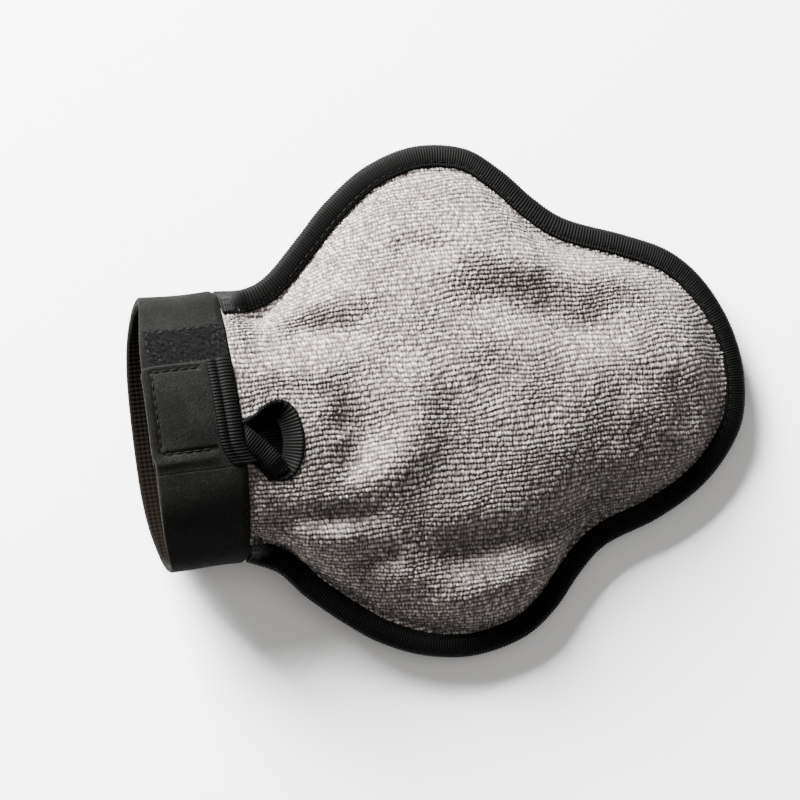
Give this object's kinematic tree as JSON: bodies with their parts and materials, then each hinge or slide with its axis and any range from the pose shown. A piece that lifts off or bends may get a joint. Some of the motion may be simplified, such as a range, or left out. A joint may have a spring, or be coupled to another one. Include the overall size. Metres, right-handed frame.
{
  "type": "wash mitt",
  "caption": "Three-lobed wash mitt with pile-fabric faces, woven edge binding, and a foam wrist cuff closed by a hook-and-loop tab over a bound slit.",
  "frame": {"origin": "middle of the bounding box in X and Y, at the level of the flat back face the mitt rests on", "axes": "+X from the cuff to the fingertips, +Y towards the thumb lobe that the tab's free end points to, +Z out of the front face that has the slit"},
  "size_m": [0.247, 0.2015, 0.0616],
  "materials": {
    "terry": "looped microfibre pile, matte",
    "lining": "black polyester knit, matte",
    "binding": "black ribbed grosgrain tape, slight sheen",
    "foam": "jersey-faced neoprene foam, matte",
    "cuff_knit": "dotted knit bonded to foam, matte",
    "loop": "brushed loop fastener",
    "hook": "moulded hook fastener",
    "thread": "black polyester sewing thread"
  },
  "bodies": {
    "mitt": {"front_terry": "terry", "front_lining": "lining", "back_terry": "terry", "back_lining": "lining", "edge_binding": "binding", "slit_binding": "binding", "cuff_band": "foam", "cuff_lining": "cuff_knit", "loop_patch": "loop", "front_edge_thread": "thread", "back_edge_thread": "thread", "cuff_seam_thread": "thread", "slit_thread": "thread", "loop_patch_thread": "thread", "upper_bar_tack": "thread", "lower_bar_tack": "thread"},
    "closing_tab": {"tab_band": "foam", "tab_lining": "cuff_knit", "hook_patch": "hook", "tab_binding": "binding", "tab_box_thread": "thread", "tab_binding_thread": "thread"}
  },
  "joints": [
    {"name": "tab_peel", "type": "hinge", "parent": "mitt", "child": "closing_tab", "pos_m": [-0.1055, -0.008, 0.0612], "axis": [1, 0, 0], "range_deg": [0, 120]}
  ]
}
